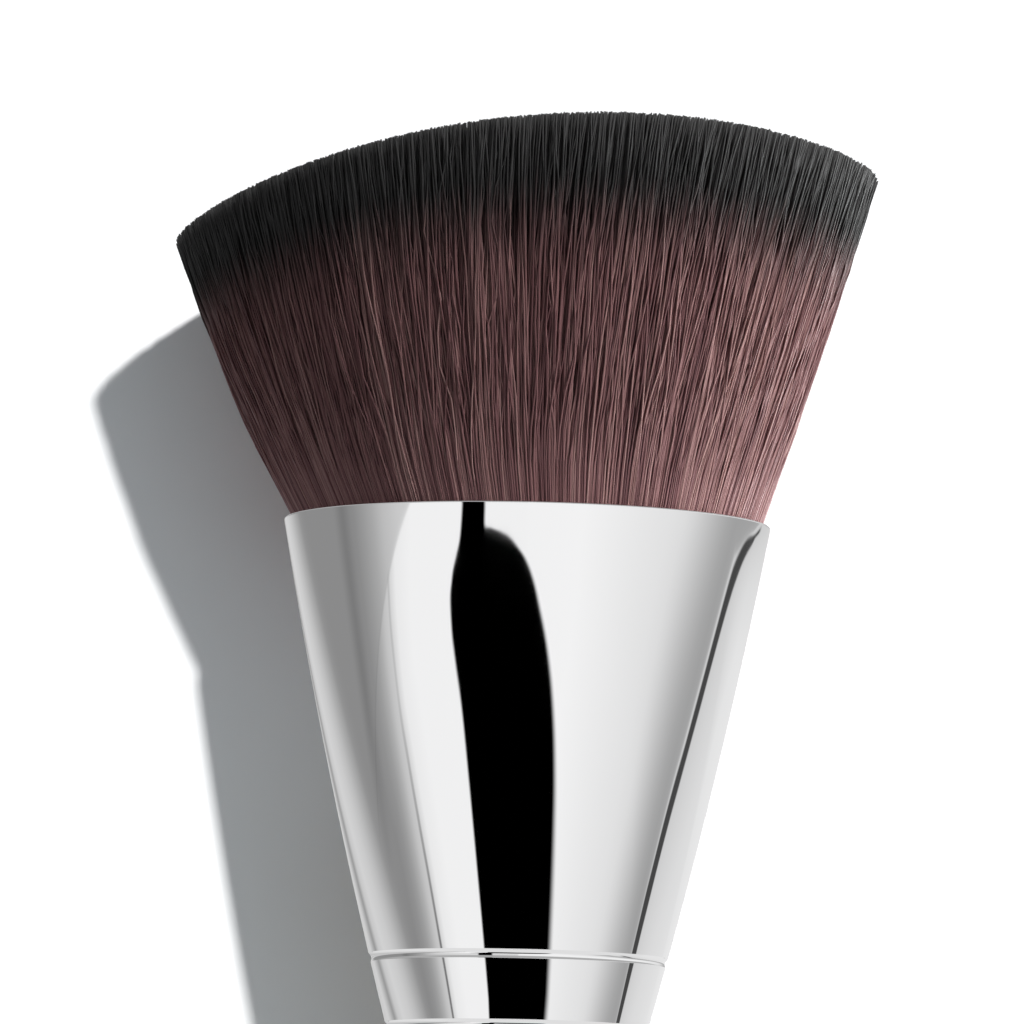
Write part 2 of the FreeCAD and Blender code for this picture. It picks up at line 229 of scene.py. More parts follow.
def outer_strands():
    """The layers of long strands round the bundle, from inside the ferrule's mouth to the cut. Returns
    their paths, widths, tones and how far each point is along its strand."""
    count = LAYER_COUNT * LAYER_STRANDS
    layer = np.repeat(np.arange(LAYER_COUNT), LAYER_STRANDS)
    angle = np.tile(np.arange(LAYER_STRANDS) * (FULL_TURN / LAYER_STRANDS), LAYER_COUNT)
    aside = DRAWS.uniform(-PLACE_SPREAD, PLACE_SPREAD, count) * (math.pi / LAYER_STRANDS)
    angle = angle + aside + layer * LAYER_TURN
    share = OUTER_SHARE - LAYER_STEP_SHARE * (layer + DRAWS.uniform(0.0, LAYER_SPREAD, count))

    order = DRAWS.permutation(count)
    angle, share, layer = angle[order], share[order], layer[order]
    clump_angle = DRAWS.uniform(0.0, FULL_TURN, CLUMP_COUNT)
    clump_angle.sort()
    middle = np.searchsorted((clump_angle[1:] + clump_angle[:-1]) / 2.0, angle % FULL_TURN)
    stray = DRAWS.random(count) < STRAY_SHARE
    clumped = layer < CLUMPED_LAYERS
    drift = TWIST + clumped * DRAWS.normal(0.0, CLUMP_DRIFT, CLUMP_COUNT)[middle]
    drift = drift + DRAWS.normal(0.0, OWN_DRIFT, count)
    drift = drift + stray * DRAWS.normal(0.0, STRAY_DRIFT, count)

    tip = tip_rise(share, angle)
    tip = tip_rise(share, angle + drift * tip / (bundle_radius(tip) * share))
    uneven = np.abs(DRAWS.normal(0.0, UNEVEN_TIPS, count))
    short = np.where(DRAWS.random(count) < SHORT_SHARE, DRAWS.uniform(*SHORT_BY_MM, count) * MM, 0.0)
    missing = uneven + short * (layer > 0)
    tip = tip - missing
    level = np.linspace(0.0, 1.0, STRAND_POINTS)[None, :]
    rise = -ROOT_DEPTH + level * (tip + ROOT_DEPTH)[:, None]

    pull = clumped * DRAWS.uniform(*CLUMP_PULL, CLUMP_COUNT)[middle] * DRAWS.uniform(*OWN_PULL, count)
    towards = (clump_angle[middle] - angle % FULL_TURN + math.pi) % FULL_TURN - math.pi
    gathered = np.sin(math.pi * np.clip(level * PULL_STRETCH, 0.0, 1.0)) ** PULL_POWER
    loose = smooth_step(level, *FREE_RANGE)
    across = pull[:, None] * gathered * towards[:, None] * loose

    size = np.abs(DRAWS.normal(0.0, WAVE_SIZE, (count, 1))) + LEAST_WAVE
    wave = DRAWS.uniform(*WAVE_LENGTHS, (count, 1))
    phase = DRAWS.uniform(0.0, FULL_TURN, (count, 1))
    sideways = size * np.sin(FULL_TURN * rise / wave + phase)
    sideways = (sideways + drift[:, None] * rise) * loose
    across = across + sideways / (bundle_radius(rise) * share[:, None])
    depth = DRAWS.normal(0.0, DEPTH_WAVE_SHARE, (count, 1))
    depth = depth * np.sin(FULL_TURN * rise / wave + DEPTH_PHASE * phase)
    shares = share[:, None] + depth * loose + stray[:, None] * STRAY_LIFT_SHARE * loose * gathered

    paths = bundle_places(shares, angle[:, None] + across, rise)
    over = paths[:, -1, 2] + missing - cut_height(paths[:, -1, 0])
    paths[:, :, 2] -= level * over[:, None]
    width = STRAND_WIDTH * DRAWS.uniform(*STRAND_WIDTHS, (count, 1))
    widths = width * (1.0 - TAPER_SHARE * smooth_step(level, *TAPER_RANGE))
    clump_tone = DRAWS.normal(MIDDLE_TONE, TONE_SPREAD, CLUMP_COUNT)[middle]
    bright = (DRAWS.random(count) < BRIGHT_SHARE) * DRAWS.uniform(*BRIGHTER_BY, count)
    tones = clump_tone - LOWER_TONE + bright + DRAWS.normal(0.0, TONE_SPREAD, count)
    tones = np.clip(tones, 0.0, 1.0)
    alongs = np.clip(rise / tip[:, None], 0.0, 1.0)
    return paths, widths, tones, alongs


def inner_strands():
    """The ends of the strands inside the bundle, just under the cut, on an even spiral."""
    number = np.arange(INNER_STRANDS) + 0.5
    share = INNER_SHARE * np.sqrt(number / INNER_STRANDS)
    angle = number * SPIRAL_TURN
    share = np.clip(share + DRAWS.normal(0.0, INNER_SPREAD, INNER_STRANDS), 0.0, MOST_INNER_SHARE)
    angle = angle + DRAWS.normal(0.0, INNER_SPREAD, INNER_STRANDS) / np.maximum(share, LEAST_TURN_SHARE)
    order = DRAWS.permutation(INNER_STRANDS)
    share, angle = share[order], angle[order]
    whole = tip_rise(share, angle)
    tip = whole - UNEVEN_ENDS * DRAWS.random(INNER_STRANDS) ** 3
    level = np.array(INNER_LEVELS)[None, :]
    rise = tip[:, None] - INNER_LENGTH * (1.0 - level)
    bend = DRAWS.normal(0.0, INNER_BEND, (INNER_STRANDS, 1)) * level
    paths = bundle_places(share[:, None] + bend, angle[:, None] + 0.0 * level, rise)
    width = TIP_WIDTH * DRAWS.uniform(*TIP_WIDTHS, (INNER_STRANDS, 1))
    widths = width * np.array(INNER_TAPER_SHARES)
    tones = np.clip(DRAWS.normal(MIDDLE_TONE, INNER_TONE_SPREAD, INNER_STRANDS), 0.0, 1.0)
    alongs = np.clip(rise / whole[:, None], 0.0, 1.0)
    return paths, widths, tones, alongs


def core_piece():
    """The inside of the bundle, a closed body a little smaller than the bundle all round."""
    angle = np.arange(CORE_TURNS) * (FULL_TURN / CORE_TURNS)
    top = tip_rise(np.full(CORE_TURNS, CORE_SHARE), angle) - CORE_LOWERED
    level = np.linspace(0.0, 1.0, CORE_RINGS)[:, None]
    rise = -ROOT_DEPTH + level * (top + ROOT_DEPTH)
    walls = bundle_places(np.full(rise.shape, CORE_SHARE), angle[None, :] + 0.0 * level, rise)
    inward = np.linspace(1.0, 0.0, CAP_RINGS)[1:-1, None]
    cap_share = CORE_SHARE * inward + 0.0 * angle[None, :]
    cap_angle = angle[None, :] + 0.0 * inward
    cap = bundle_places(cap_share, cap_angle, tip_rise(cap_share, cap_angle) - CORE_LOWERED)
    middle = np.array(0.0)
    centre = bundle_places(middle, middle, tip_rise(middle, middle) - CORE_LOWERED)
    places = np.concatenate((walls.reshape(-1, 3), cap.reshape(-1, 3), centre.reshape(1, 3)))
    ring_count = CORE_RINGS + len(cap)
    faces = []
    for ring in range(ring_count - 1):
        for turn in range(CORE_TURNS):
            after = (turn + 1) % CORE_TURNS
            low, high = ring * CORE_TURNS, (ring + 1) * CORE_TURNS
            faces.append((low + turn, low + after, high + after, high + turn))
    last = (ring_count - 1) * CORE_TURNS
    for turn in range(CORE_TURNS):
        faces.append((last + turn, last + (turn + 1) % CORE_TURNS, ring_count * CORE_TURNS))
    faces.append(tuple(reversed(range(CORE_TURNS))))
    mesh = bpy.data.meshes.new("bundle_core")
    mesh.from_pydata([tuple(place) for place in places], [], faces)
    mesh.shade_smooth()
    return new_object("bundle_core", mesh)


# The ferrule, a thin spun shell. Its profile is in millimetres, as (radius, height over its lower edge),
# and is made of runs of places. Where two runs meet at a corner, each stops short of it by the knee.

SKIRT_RADIUS = 5.85
SKIRT_LENGTH = 5.0
MOUTH_RADIUS = 12.5
FERRULE_LENGTH = 34.0
FERRULE_WALL = 0.3
FLANK_ARC = 320.0
BLEND_ARC = 12.0
EDGE_ARC = 0.09
ROLL_HEIGHTS = (8.05, 11.55)
ROLL_WIDTH = 0.44
ROLL_ARC = 0.36
KNEE = 0.012
SKIRT_PLACES, BLEND_PLACES, EDGE_PLACES = 3, 9, 6
BAND_PLACES, ROLL_PLACES = 8, 11
OUTER_PLACES, INNER_PLACES = 48, 24
SHELL_TURNS = 256

SKIRT_TOP = np.array((SKIRT_RADIUS, SKIRT_LENGTH))
MOUTH_EDGE = np.array((MOUTH_RADIUS, FERRULE_LENGTH))


def arc_centre(first, last, radius):
    """The centre of an arc between two places that bends away from the axis, or towards it where the
    radius is negative."""
    chord = last - first
    half = math.hypot(*chord) / 2.0
    inwards = np.array((-chord[1], chord[0])) / (2.0 * half)
    return (first + last) / 2.0 + inwards * math.copysign(math.sqrt(radius ** 2 - half ** 2), radius)


FLANK_CENTRE = arc_centre(SKIRT_TOP, MOUTH_EDGE, FLANK_ARC)


def on_flank(height, inset):
    """The place on the flank at a height, inset from its outer face."""
    reach = math.sqrt((FLANK_ARC - inset) ** 2 - (height - FLANK_CENTRE[1]) ** 2)
    return np.array((FLANK_CENTRE[0] + reach, height))


def arc_run(centre, radius, first, last, count, trim=0.0):
    """Places along an arc between two places, each with the way that it faces, away from the centre or,
    where the radius is negative, to it. The run may stop short by a trim at its ends."""
    start, stop = (math.atan2(place[1] - centre[1], place[0] - centre[0]) for place in (first, last))
    stop = start + (stop - start + math.pi) % FULL_TURN - math.pi
    short = math.copysign(trim / abs(radius), stop - start)
    angle = np.linspace(start + short, stop - short, count)
    out = np.stack((np.cos(angle), np.sin(angle)), axis=-1)
    return centre + out * abs(radius), out * math.copysign(1.0, radius)


def flank_run(low, high, inset, count):
    """Places up the flank between two heights."""
    first, last = on_flank(low, inset), on_flank(high, inset)
    return arc_run(FLANK_CENTRE, FLANK_ARC - inset, first, last, count, KNEE)


def skirt_runs(inset):
    """Places up the straight skirt and the blend above it, and the height where the flank starts."""
    across = SKIRT_RADIUS - inset
    spread = across + BLEND_ARC - FLANK_CENTRE[0]
    reach = FLANK_ARC - inset + BLEND_ARC
    centre = np.array((across + BLEND_ARC, FLANK_CENTRE[1] - math.sqrt(reach ** 2 - spread ** 2)))
    touch = FLANK_CENTRE + (centre - FLANK_CENTRE) * (FLANK_ARC - inset) / reach
    start = np.array((across, centre[1]))
    straight = np.linspace((across, EDGE_ARC), start, SKIRT_PLACES + 1)[:-1]
    facing = np.tile((1.0, 0.0), (SKIRT_PLACES, 1))
    return [(straight, facing), arc_run(centre, -BLEND_ARC, start, touch, BLEND_PLACES)], touch[1]


def shell_profile():
    """The places round the shell's section, up its outer face and down its inner one, and how each
    faces."""
    runs, low = skirt_runs(0.0)
    for middle in ROLL_HEIGHTS:
        first, last = (on_flank(middle + side * ROLL_WIDTH / 2.0, 0.0) for side in (-1.0, 1.0))
        runs.append(flank_run(low, first[1], 0.0, BAND_PLACES))
        middle_of_roll = arc_centre(first, last, -ROLL_ARC)
        runs.append(arc_run(middle_of_roll, -ROLL_ARC, first, last, ROLL_PLACES, KNEE))
        low = last[1]
    rim = FERRULE_LENGTH - EDGE_ARC
    runs.append(flank_run(low, rim, 0.0, OUTER_PLACES))
    outer, inner = on_flank(rim, EDGE_ARC), on_flank(rim, FERRULE_WALL - EDGE_ARC)
    up = np.array((0.0, EDGE_ARC))
    runs.append(arc_run(outer, EDGE_ARC, on_flank(rim, 0.0), outer + up, EDGE_PLACES))
    runs.append(arc_run(inner, EDGE_ARC, inner + up, on_flank(rim, FERRULE_WALL), EDGE_PLACES))
    inside, low = skirt_runs(FERRULE_WALL)
    inside.append(flank_run(low, rim, FERRULE_WALL, INNER_PLACES))
    for places, facing in reversed(inside):
        runs.append((places[::-1], -facing[::-1]))
    outer = np.array((SKIRT_RADIUS - EDGE_ARC, EDGE_ARC))
    inner = np.array((SKIRT_RADIUS - FERRULE_WALL + EDGE_ARC, EDGE_ARC))
    aside = np.array((EDGE_ARC, 0.0))
    runs.append(arc_run(inner, EDGE_ARC, inner - aside, inner - up, EDGE_PLACES))
    runs.append(arc_run(outer, EDGE_ARC, outer - up, outer + aside, EDGE_PLACES))
    return (np.concatenate(part) for part in zip(*runs))


def turned(profile, around):
    """A profile of (radius, height) at every turn round the axis."""
    level = profile[:, None, 0, None] * around[None, :, :]
    up = np.broadcast_to(profile[:, None, 1, None], level.shape[:2] + (1,))
    return np.concatenate((level, up), axis=-1)


def ferrule_shell():
    """The ferrule, turned from its profile, with the exact way that each place faces."""
    profile, facing = shell_profile()
    rings = len(profile)
    angle = np.arange(SHELL_TURNS) * (FULL_TURN / SHELL_TURNS)
    around = np.stack((np.cos(angle), np.sin(angle)), axis=-1)
    base = np.array((0.0, FERRULE_BASE / MM))
    places = turned(profile + base, around) * MM
    ring, turn = np.meshgrid(np.arange(rings), np.arange(SHELL_TURNS), indexing="ij")
    after, above = (turn + 1) % SHELL_TURNS, (ring + 1) % rings
    corners = ((ring, turn), (ring, after), (above, after), (above, turn))
    faces = np.stack([row * SHELL_TURNS + column for row, column in corners], axis=-1)
    mesh = bpy.data.meshes.new("ferrule_shell")
    mesh.from_pydata(places.reshape(-1, 3).tolist(), [], faces.reshape(-1, 4).tolist())
    mesh.shade_smooth()
    mesh.normals_split_custom_set_from_vertices(turned(facing, around).reshape(-1, 3).tolist())
    return new_object("ferrule_shell", mesh)


# Materials

# The charcoal starts and is full at these shares of a strand's length, and its edge is ragged by a share
CHARCOAL_SHARES = (0.58, 0.84)
RAGGED_SHARE = 0.16
CORE_CHARCOAL_HEIGHTS = (139.5 * MM, 144.0 * MM)
CORE_STREAKS = (4000.0, 4000.0, 160.0)


def new_material(name):
    """An empty material with a Principled shader. Returns the material, its tree and the shader."""
    material = bpy.data.materials.new(name)
    material.use_nodes = True
    tree = material.node_tree
    shader = next(node for node in tree.nodes if node.type == "BSDF_PRINCIPLED")
    return material, tree, shader


def math_node(tree, operation, first, second=None, third=None):
    """A Math node on up to three sockets or numbers, and its result."""
    node = tree.nodes.new("ShaderNodeMath")
    node.operation = operation
    for socket, value in zip(node.inputs, (first, second, third)):
        if isinstance(value, bpy.types.NodeSocket):
            tree.links.new(value, socket)
        elif value is not None:
            socket.default_value = value
    return node.outputs[0]


def ramp_node(tree, value, stops):
    """A colour ramp on a socket, with stops of (place, colour), and its colour."""
    node = tree.nodes.new("ShaderNodeValToRGB")
    elements = node.color_ramp.elements
    while len(elements) < len(stops):
        elements.new(1.0)
    for element, (place, colour) in zip(elements, stops):
        element.position = place
        element.color = (*colour, 1.0)
    tree.links.new(value, node.inputs[0])
    return node.outputs[0]


def mix_node(tree, share, first, second, blend="MIX"):
    """Mixes two colours, each a socket or three numbers, by a share."""
    node = tree.nodes.new("ShaderNodeMix")
    node.data_type = "RGBA"
    node.blend_type = blend
    for socket, value in ((node.inputs[0], share), (node.inputs[6], first), (node.inputs[7], second)):
        if isinstance(value, bpy.types.NodeSocket):
            tree.links.new(value, socket)
        elif isinstance(value, tuple):
            socket.default_value = (*value, 1.0)
        else:
            socket.default_value = value
    return node.outputs[2]


def between(tree, value, *places):
    """A straight way between two places of (value, result), held level outside them."""
    node = tree.nodes.new("ShaderNodeMapRange")
    (node.inputs["From Min"].default_value, node.inputs["To Min"].default_value) = places[0]
    (node.inputs["From Max"].default_value, node.inputs["To Max"].default_value) = places[1]
    tree.links.new(value, node.inputs["Value"])
    return node.outputs[0]


def smooth_node(tree, value, low, high):
    """0 where a socket is below low, 1 where it is above high, and a smooth way between them."""
    node = tree.nodes.new("ShaderNodeMapRange")
    node.interpolation_type = "SMOOTHSTEP"
    node.inputs["From Min"].default_value = low
    node.inputs["From Max"].default_value = high
    tree.links.new(value, node.inputs["Value"])
    return node.outputs[0]


def noise_node(tree, place, scale, detail=2.0):
    """Cloudy noise at a place."""
    node = tree.nodes.new("ShaderNodeTexNoise")
    node.inputs["Scale"].default_value = scale
    node.inputs["Detail"].default_value = detail
    tree.links.new(place, node.inputs["Vector"])
    return node.outputs[0]


def object_place(tree):
    """A place in the object's own frame."""
    return tree.nodes.new("ShaderNodeTexCoord").outputs["Object"]


def parts_of(tree, place):
    """The three parts of a place."""
    apart = tree.nodes.new("ShaderNodeSeparateXYZ")
    tree.links.new(place, apart.inputs[0])
    return apart.outputs


def strand_material():
    """Satin filaments, mauve brown at the root and charcoal at the tip, each of its own tone."""
    material, tree, shader = new_material("satin_filament")
    strand_map = tree.nodes.new("ShaderNodeUVMap")
    strand_map.uv_map = "OFBake"
    place = strand_map.outputs[0]
    tone, along, _ = parts_of(tree, place)
    brown = ramp_node(tree, tone, (
        (0.0, (0.120, 0.052, 0.058)),
        (0.45, (0.275, 0.139, 0.141)),
        (1.0, (0.500, 0.300, 0.282)),
    ))
    charcoal = ramp_node(tree, tone, (
        (0.0, (0.023, 0.0225, 0.0225)),
        (1.0, (0.037, 0.0365, 0.0365)),
    ))
    # Painted light: the charcoal is 0.85 of its tone below 0.82 of the strand's length and grows to 2.1
    # times at the tip, for light from above on the tips.
    painted_tip_light = ramp_node(tree, along, ((0.82, (0.85, 0.85, 0.85)), (1.0, (2.1, 2.1, 2.1))))
    charcoal = mix_node(tree, 1.0, charcoal, painted_tip_light, "MULTIPLY")
    # Painted light and shade: the brown is full at the root and darker up the strand, to about 0.63 at
    # three quarters of its length, for a better lit root and strands higher up that shade each other.
    painted_shade_upwards = ramp_node(tree, along, (
        (0.0, (1.0, 1.0, 1.0)),
        (0.25, (0.86, 0.85, 0.85)),
        (0.5, (0.80, 0.78, 0.78)),
        (0.75, (0.64, 0.62, 0.62)),
    ))
    brown = mix_node(tree, 1.0, brown, painted_shade_upwards, "MULTIPLY")
    ragged = noise_node(tree, place, scale=9.0)
    ragged = math_node(tree, "MULTIPLY_ADD", ragged, RAGGED_SHARE, -RAGGED_SHARE / 2.0)
    share = smooth_node(tree, math_node(tree, "ADD", along, ragged), *CHARCOAL_SHARES)
    tree.links.new(mix_node(tree, share, brown, charcoal), shader.inputs["Base Color"])
    tree.links.new(between(tree, share, (0.0, 0.48), (1.0, 0.6)), shader.inputs["Roughness"])
    tree.links.new(between(tree, share, (0.0, 0.12), (1.0, 0.2)), shader.inputs["Specular IOR Level"])
    return material


def core_material():
    """The packed strands behind the outer layers, in fine upright streaks, painted darker than the strands
    as the shade in the gaps between them.
    """
    material, tree, shader = new_material("packed_filament")
    place = object_place(tree)
    stretched = tree.nodes.new("ShaderNodeMapping")
    stretched.inputs["Scale"].default_value = CORE_STREAKS
    tree.links.new(place, stretched.inputs[0])
    shaded_streaks = ramp_node(tree, noise_node(tree, stretched.outputs[0], scale=1.0), (
        (0.3, (0.050, 0.024, 0.025)),
        (0.7, (0.120, 0.058, 0.059)),
    ))
    share = smooth_node(tree, parts_of(tree, place)[2], *CORE_CHARCOAL_HEIGHTS)
    colour = mix_node(tree, share, shaded_streaks, (0.022, 0.0215, 0.0215))
    tree.links.new(colour, shader.inputs["Base Color"])
    shader.inputs["Roughness"].default_value = 0.7
    shader.inputs["Specular IOR Level"].default_value = 0.1
    return material


def chrome_material():
    """Mirror plating with the faint unevenness that polishing leaves."""
    material, tree, shader = new_material("mirror_chrome")
    shader.inputs["Base Color"].default_value = (0.93, 0.93, 0.935, 1.0)
    shader.inputs["Metallic"].default_value = 1.0
    noise = noise_node(tree, object_place(tree), scale=900.0, detail=3.0)
    tree.links.new(between(tree, noise, (0.0, 0.008), (1.0, 0.028)), shader.inputs["Roughness"])
    return material


def lacquer_material():
    """Black gloss lacquer on wood."""
    material, _, shader = new_material("black_lacquer")
    shader.inputs["Base Color"].default_value = (0.012, 0.012, 0.013, 1.0)
    shader.inputs["Roughness"].default_value = 0.25
    shader.inputs["Coat Weight"].default_value = 1.0
    shader.inputs["Coat Roughness"].default_value = 0.04
    return material


def adhesive_material():
    """Hardened glue, off-white and a little glossy, with faint cloudy patches."""
    material, tree, shader = new_material("hardened_glue")
    noise = noise_node(tree, object_place(tree), scale=400.0)
    colour = ramp_node(tree, noise, ((0.3, (0.70, 0.66, 0.55)), (0.7, (0.80, 0.77, 0.68))))
    tree.links.new(colour, shader.inputs["Base Color"])
    shader.inputs["Roughness"].default_value = 0.35
    return material


def resin_material():
    """Amber resin, glossy, with darker clouds in it."""
    material, tree, shader = new_material("amber_resin")
    noise = noise_node(tree, object_place(tree), scale=300.0)
    colour = ramp_node(tree, noise, ((0.3, (0.50, 0.39, 0.21)), (0.7, (0.68, 0.57, 0.38))))
    tree.links.new(colour, shader.inputs["Base Color"])
    shader.inputs["Roughness"].default_value = 0.15
    return material


def thread_material():
    """Pale thread, wound in level turns."""
    material, tree, shader = new_material("wound_thread")
    turns = tree.nodes.new("ShaderNodeTexWave")
    turns.bands_direction = "Z"
    turns.inputs["Scale"].default_value = 1500.0
    turns.inputs["Distortion"].default_value = 1.5
    turns.inputs["Detail"].default_value = 2.0
    tree.links.new(object_place(tree), turns.inputs["Vector"])
    colour = ramp_node(tree, turns.outputs["Fac"], ((0.0, (0.42, 0.41, 0.38)), (0.5, (0.86, 0.85, 0.81))))
    tree.links.new(colour, shader.inputs["Base Color"])
    shader.inputs["Roughness"].default_value = 0.85
    return material


def wear(node, material):
    """Puts a material on every slot of a CAD node."""
    for slot in NODES[node].material_slots:
        slot.material = material


strand_look = strand_material()
parts = [("filament_layers", OUTER_SIDES, outer_strands(), MESH_STRANDS),
         ("filament_ends", INNER_SIDES, inner_strands(), INNER_MESH_STRANDS)]
for stem, sides, strands, most in parts:
    for number, start in enumerate(range(0, len(strands[0]), most), start=1):
        piece = strand_piece(f"{stem}_{number}", sides, *(part[start:start + most] for part in strands))
        piece.data.materials.append(strand_look)
        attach(piece, "root")
        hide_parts("filament_head")

core = core_piece()
core.data.materials.append(core_material())
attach(core, "root")
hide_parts("filament_head")

shell = ferrule_shell()
shell.data.materials.append(chrome_material())
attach(shell, "root")
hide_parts("ferrule")

wear("handle", lacquer_material())
wear("tenon_adhesive", adhesive_material())
wear("resin_plug", resin_material())
wear("root_binding", thread_material())

# Camera. The sensor's width is in millimetres, and the focal length in pixels of the picture.

PICTURE_SIDE = 1024
SENSOR_WIDTH = 36.0
FOCAL_PIXELS = 9650.0
CAMERA_DISTANCE = 0.4959
CAMERA_RISE = math.radians(-5.45)
CAMERA_ROLL = math.radians(1.22)
CLIP_START, CLIP_END = 0.01, 10.0
AIM = Vector((-0.80, 0.0, 130.60)) * MM


def add_camera():
    """The camera, level with the head and a little below it, with its picture turned by its roll."""
    data = bpy.data.cameras.new("camera")
    data.sensor_width = SENSOR_WIDTH
    data.lens = FOCAL_PIXELS * SENSOR_WIDTH / PICTURE_SIDE
    data.clip_start = CLIP_START
    data.clip_end = CLIP_END
    camera = bpy.data.objects.new("camera", data)
    bpy.context.scene.collection.objects.link(camera)
    away = Vector((0.0, -math.cos(CAMERA_RISE), math.sin(CAMERA_RISE)))
    camera.location = AIM + away * CAMERA_DISTANCE
    level = away.to_track_quat("Z", "Y").to_matrix().to_4x4()
    level = level @ Matrix.Rotation(CAMERA_ROLL, 4, "Z")
    camera.matrix_world = Matrix.Translation(camera.location) @ level
    bpy.context.scene.camera = camera


add_camera()

# Light. The studio has white panels with dark gaps between them, which only gloss shows. The stage is a
# wall behind the brush and a floor under it, which fade out over a range of distances from their middle.

WALL_MIDDLE = Vector((0.0, 22.4, 118.0)) * MM
WALL_UP = Vector((0.0, -0.122, 0.9925))
WALL_REACH, WALL_FADE, WALL_GLOW = 0.065, (0.042, 0.062), 0.0
FLOOR_REACH, FLOOR_FADE, FLOOR_GLOW = 0.13, (0.085, 0.125), 0.45
STAGE_WHITE = (0.95, 0.95, 0.95, 1.0)
AMBIENT = (0.130, 0.134, 0.140)
CHROME_SHARE = 0.93
LOW_RISE, HIGH_RISE = -30.8, 5.0

# Edges in the studio, as (rise, azimuth) in degrees seen from the head. Azimuth 0 is the side that the
# picture is taken from, and 90 is +X. The front gap is dark, the border is the left panel's left edge, and
# the seam is a dark line between the right panels.
GAP_LEFT = ((-26.3, -25.8), (-24.8, -28.0), (-22.7, -31.0), (-20.6, -33.7), (-18.9, -35.9), (-17.3, -38.9),
            (-16.8, -39.6), (-16.3, -39.7), (-15.7, -38.3), (-15.3, -35.4), (-15.0, -33.2), (-14.6, -32.1),
            (-14.3, -31.5))
GAP_RIGHT = ((-26.2, 26.8), (-24.9, 25.3), (-22.2, 22.1), (-21.3, 20.8), (-19.7, 17.1), (-18.4, 12.2),
             (-17.5, 7.3), (-16.9, 3.8), (-16.4, -0.4), (-16.1, -4.3), (-15.8, -8.7), (-15.6, -13.0),
             (-15.4, -17.6), (-15.2, -20.7), (-14.8, -20.4))
BORDER = ((-30.8, -46.7), (-22.7, -61.8), (-21.4, -64.3), (-19.6, -67.6), (-18.0, -70.6), (-16.3, -73.4),
          (-14.8, -75.4), (-13.6, -75.6), (-12.3, -74.0))
SEAM = ((-30.7, 100.6), (-16.1, 102.1), (-14.8, 103.1), (-14.2, 103.7), (-13.5, 104.7), (-12.5, 106.2),
        (-11.4, 108.3), (-10.2, 111.1), (-9.1, 113.6), (-8.0, 116.2), (-7.1, 118.3), (-5.4, 122.8),
        (-4.8, 124.8), (-4.2, 127.2), (-3.5, 130.3), (-2.6, 134.8), (-2.0, 138.0), (-1.4, 141.1),
        (-0.7, 144.8), (-0.3, 146.9), (0.0, 148.4), (0.5, 151.1), (1.5, 156.5), (5.0, 175.4))
PANEL_TOP, PANEL_TOP_SOFT = -12.4, 0.3

# What changes with the rise, each between two places of (rise, value)
GAP_SOFT = ((-24.9, 6.0), (-15.9, 1.8))
BORDER_SPREAD = ((-15.3, 1.0), (-12.2, 1.45))
BORDER_DEPTH = ((-21.7, 0.72), (-14.7, 0.16))
STREAK_DEPTH = ((-14.6, 0.0), (-11.2, 0.24))
SEAM_LOW_HALF = ((-14.8, 0.7), (-10.0, 0.0))
SEAM_HIGH_HALF = ((-5.0, 1.43), (-1.4, 0.15))
SEAM_SOFT = ((-5.0, 0.9), (-1.5, 0.2))
SEAM_DEPTH = ((-0.6, 0.9), (0.0, 0.0))
SEAM_CLOSER = ((-5.0, 1.0), (-1.5, 4.0))
RIGHT_SHIFT = ((-25.9, -12.0), (-16.9, 0.0))

# Lines by their half width and softness in degrees, and steps by their edge and softness
BORDER_HALF, BORDER_SOFT = 0.7, 1.0
TOP_LINE_HALF, TOP_LINE_SOFT, TOP_LINE_DEPTH = 0.06, 0.1, 0.12
STREAK_AZIMUTH, STREAK_HALF, STREAK_SOFT = -99.5, 3.5, 8.0
FAR_SLOPE, FAR_EDGE, FAR_SOFT = -2.9, 142.5, 7.0
SEAM_SIDE = 3.0
SHIFT_EDGE, SHIFT_SOFT = 6.0, 6.0
SIDES_SOFT, GAP_LEFT_SOFT = 2.0, 1.6
BACK_GAP, BACK_GAP_TOP, BACK_GAP_SOFT = 166.0, -12.0, 3.0
LOW_EDGE, LOW_SOFT, LOW_LIGHT = -33.0, 3.0, (0.78, 0.78, 0.78)
HIGH_EDGE, HIGH_SOFT, HIGH_LIGHT = 16.0, 8.0, (0.42, 0.42, 0.42)

# Grey levels that chrome shows, of 255, by degrees to the left of an edge or past the left side's far edge
LEFT_PANEL = ((-30.0, 240), (-12.0, 240), (-4.0, 233), (-1.0, 212), (0.0, 203), (3.0, 193), (6.0, 172),
              (9.0, 155), (12.0, 144), (16.0, 136), (24.0, 138), (40.0, 140))
ABOVE_PANEL = ((-30.0, 214), (-9.0, 200), (0.0, 186), (6.0, 167), (12.0, 152), (18.0, 138), (40.0, 138))
FAR_LEFT = ((138.5, 138), (143.5, 148), (146.5, 168), (149.5, 188), (152.5, 201), (156.5, 209),
            (159.5, 196), (161.5, 148), (163.5, 184), (165.5, 205), (177.5, 185), (202.5, 215),
            (252.5, 228))
RIGHT_PANEL = ((-80.0, 228), (-30.0, 226), (-14.0, 218), (-6.0, 210), (1.2, 200), (2.0, 206), (3.0, 162),
               (6.0, 159), (10.0, 166), (14.0, 177), (18.0, 189), (22.0, 201), (26.0, 212), (30.0, 220),
               (36.0, 225), (50.0, 231), (66.0, 238), (76.0, 242), (120.0, 240))

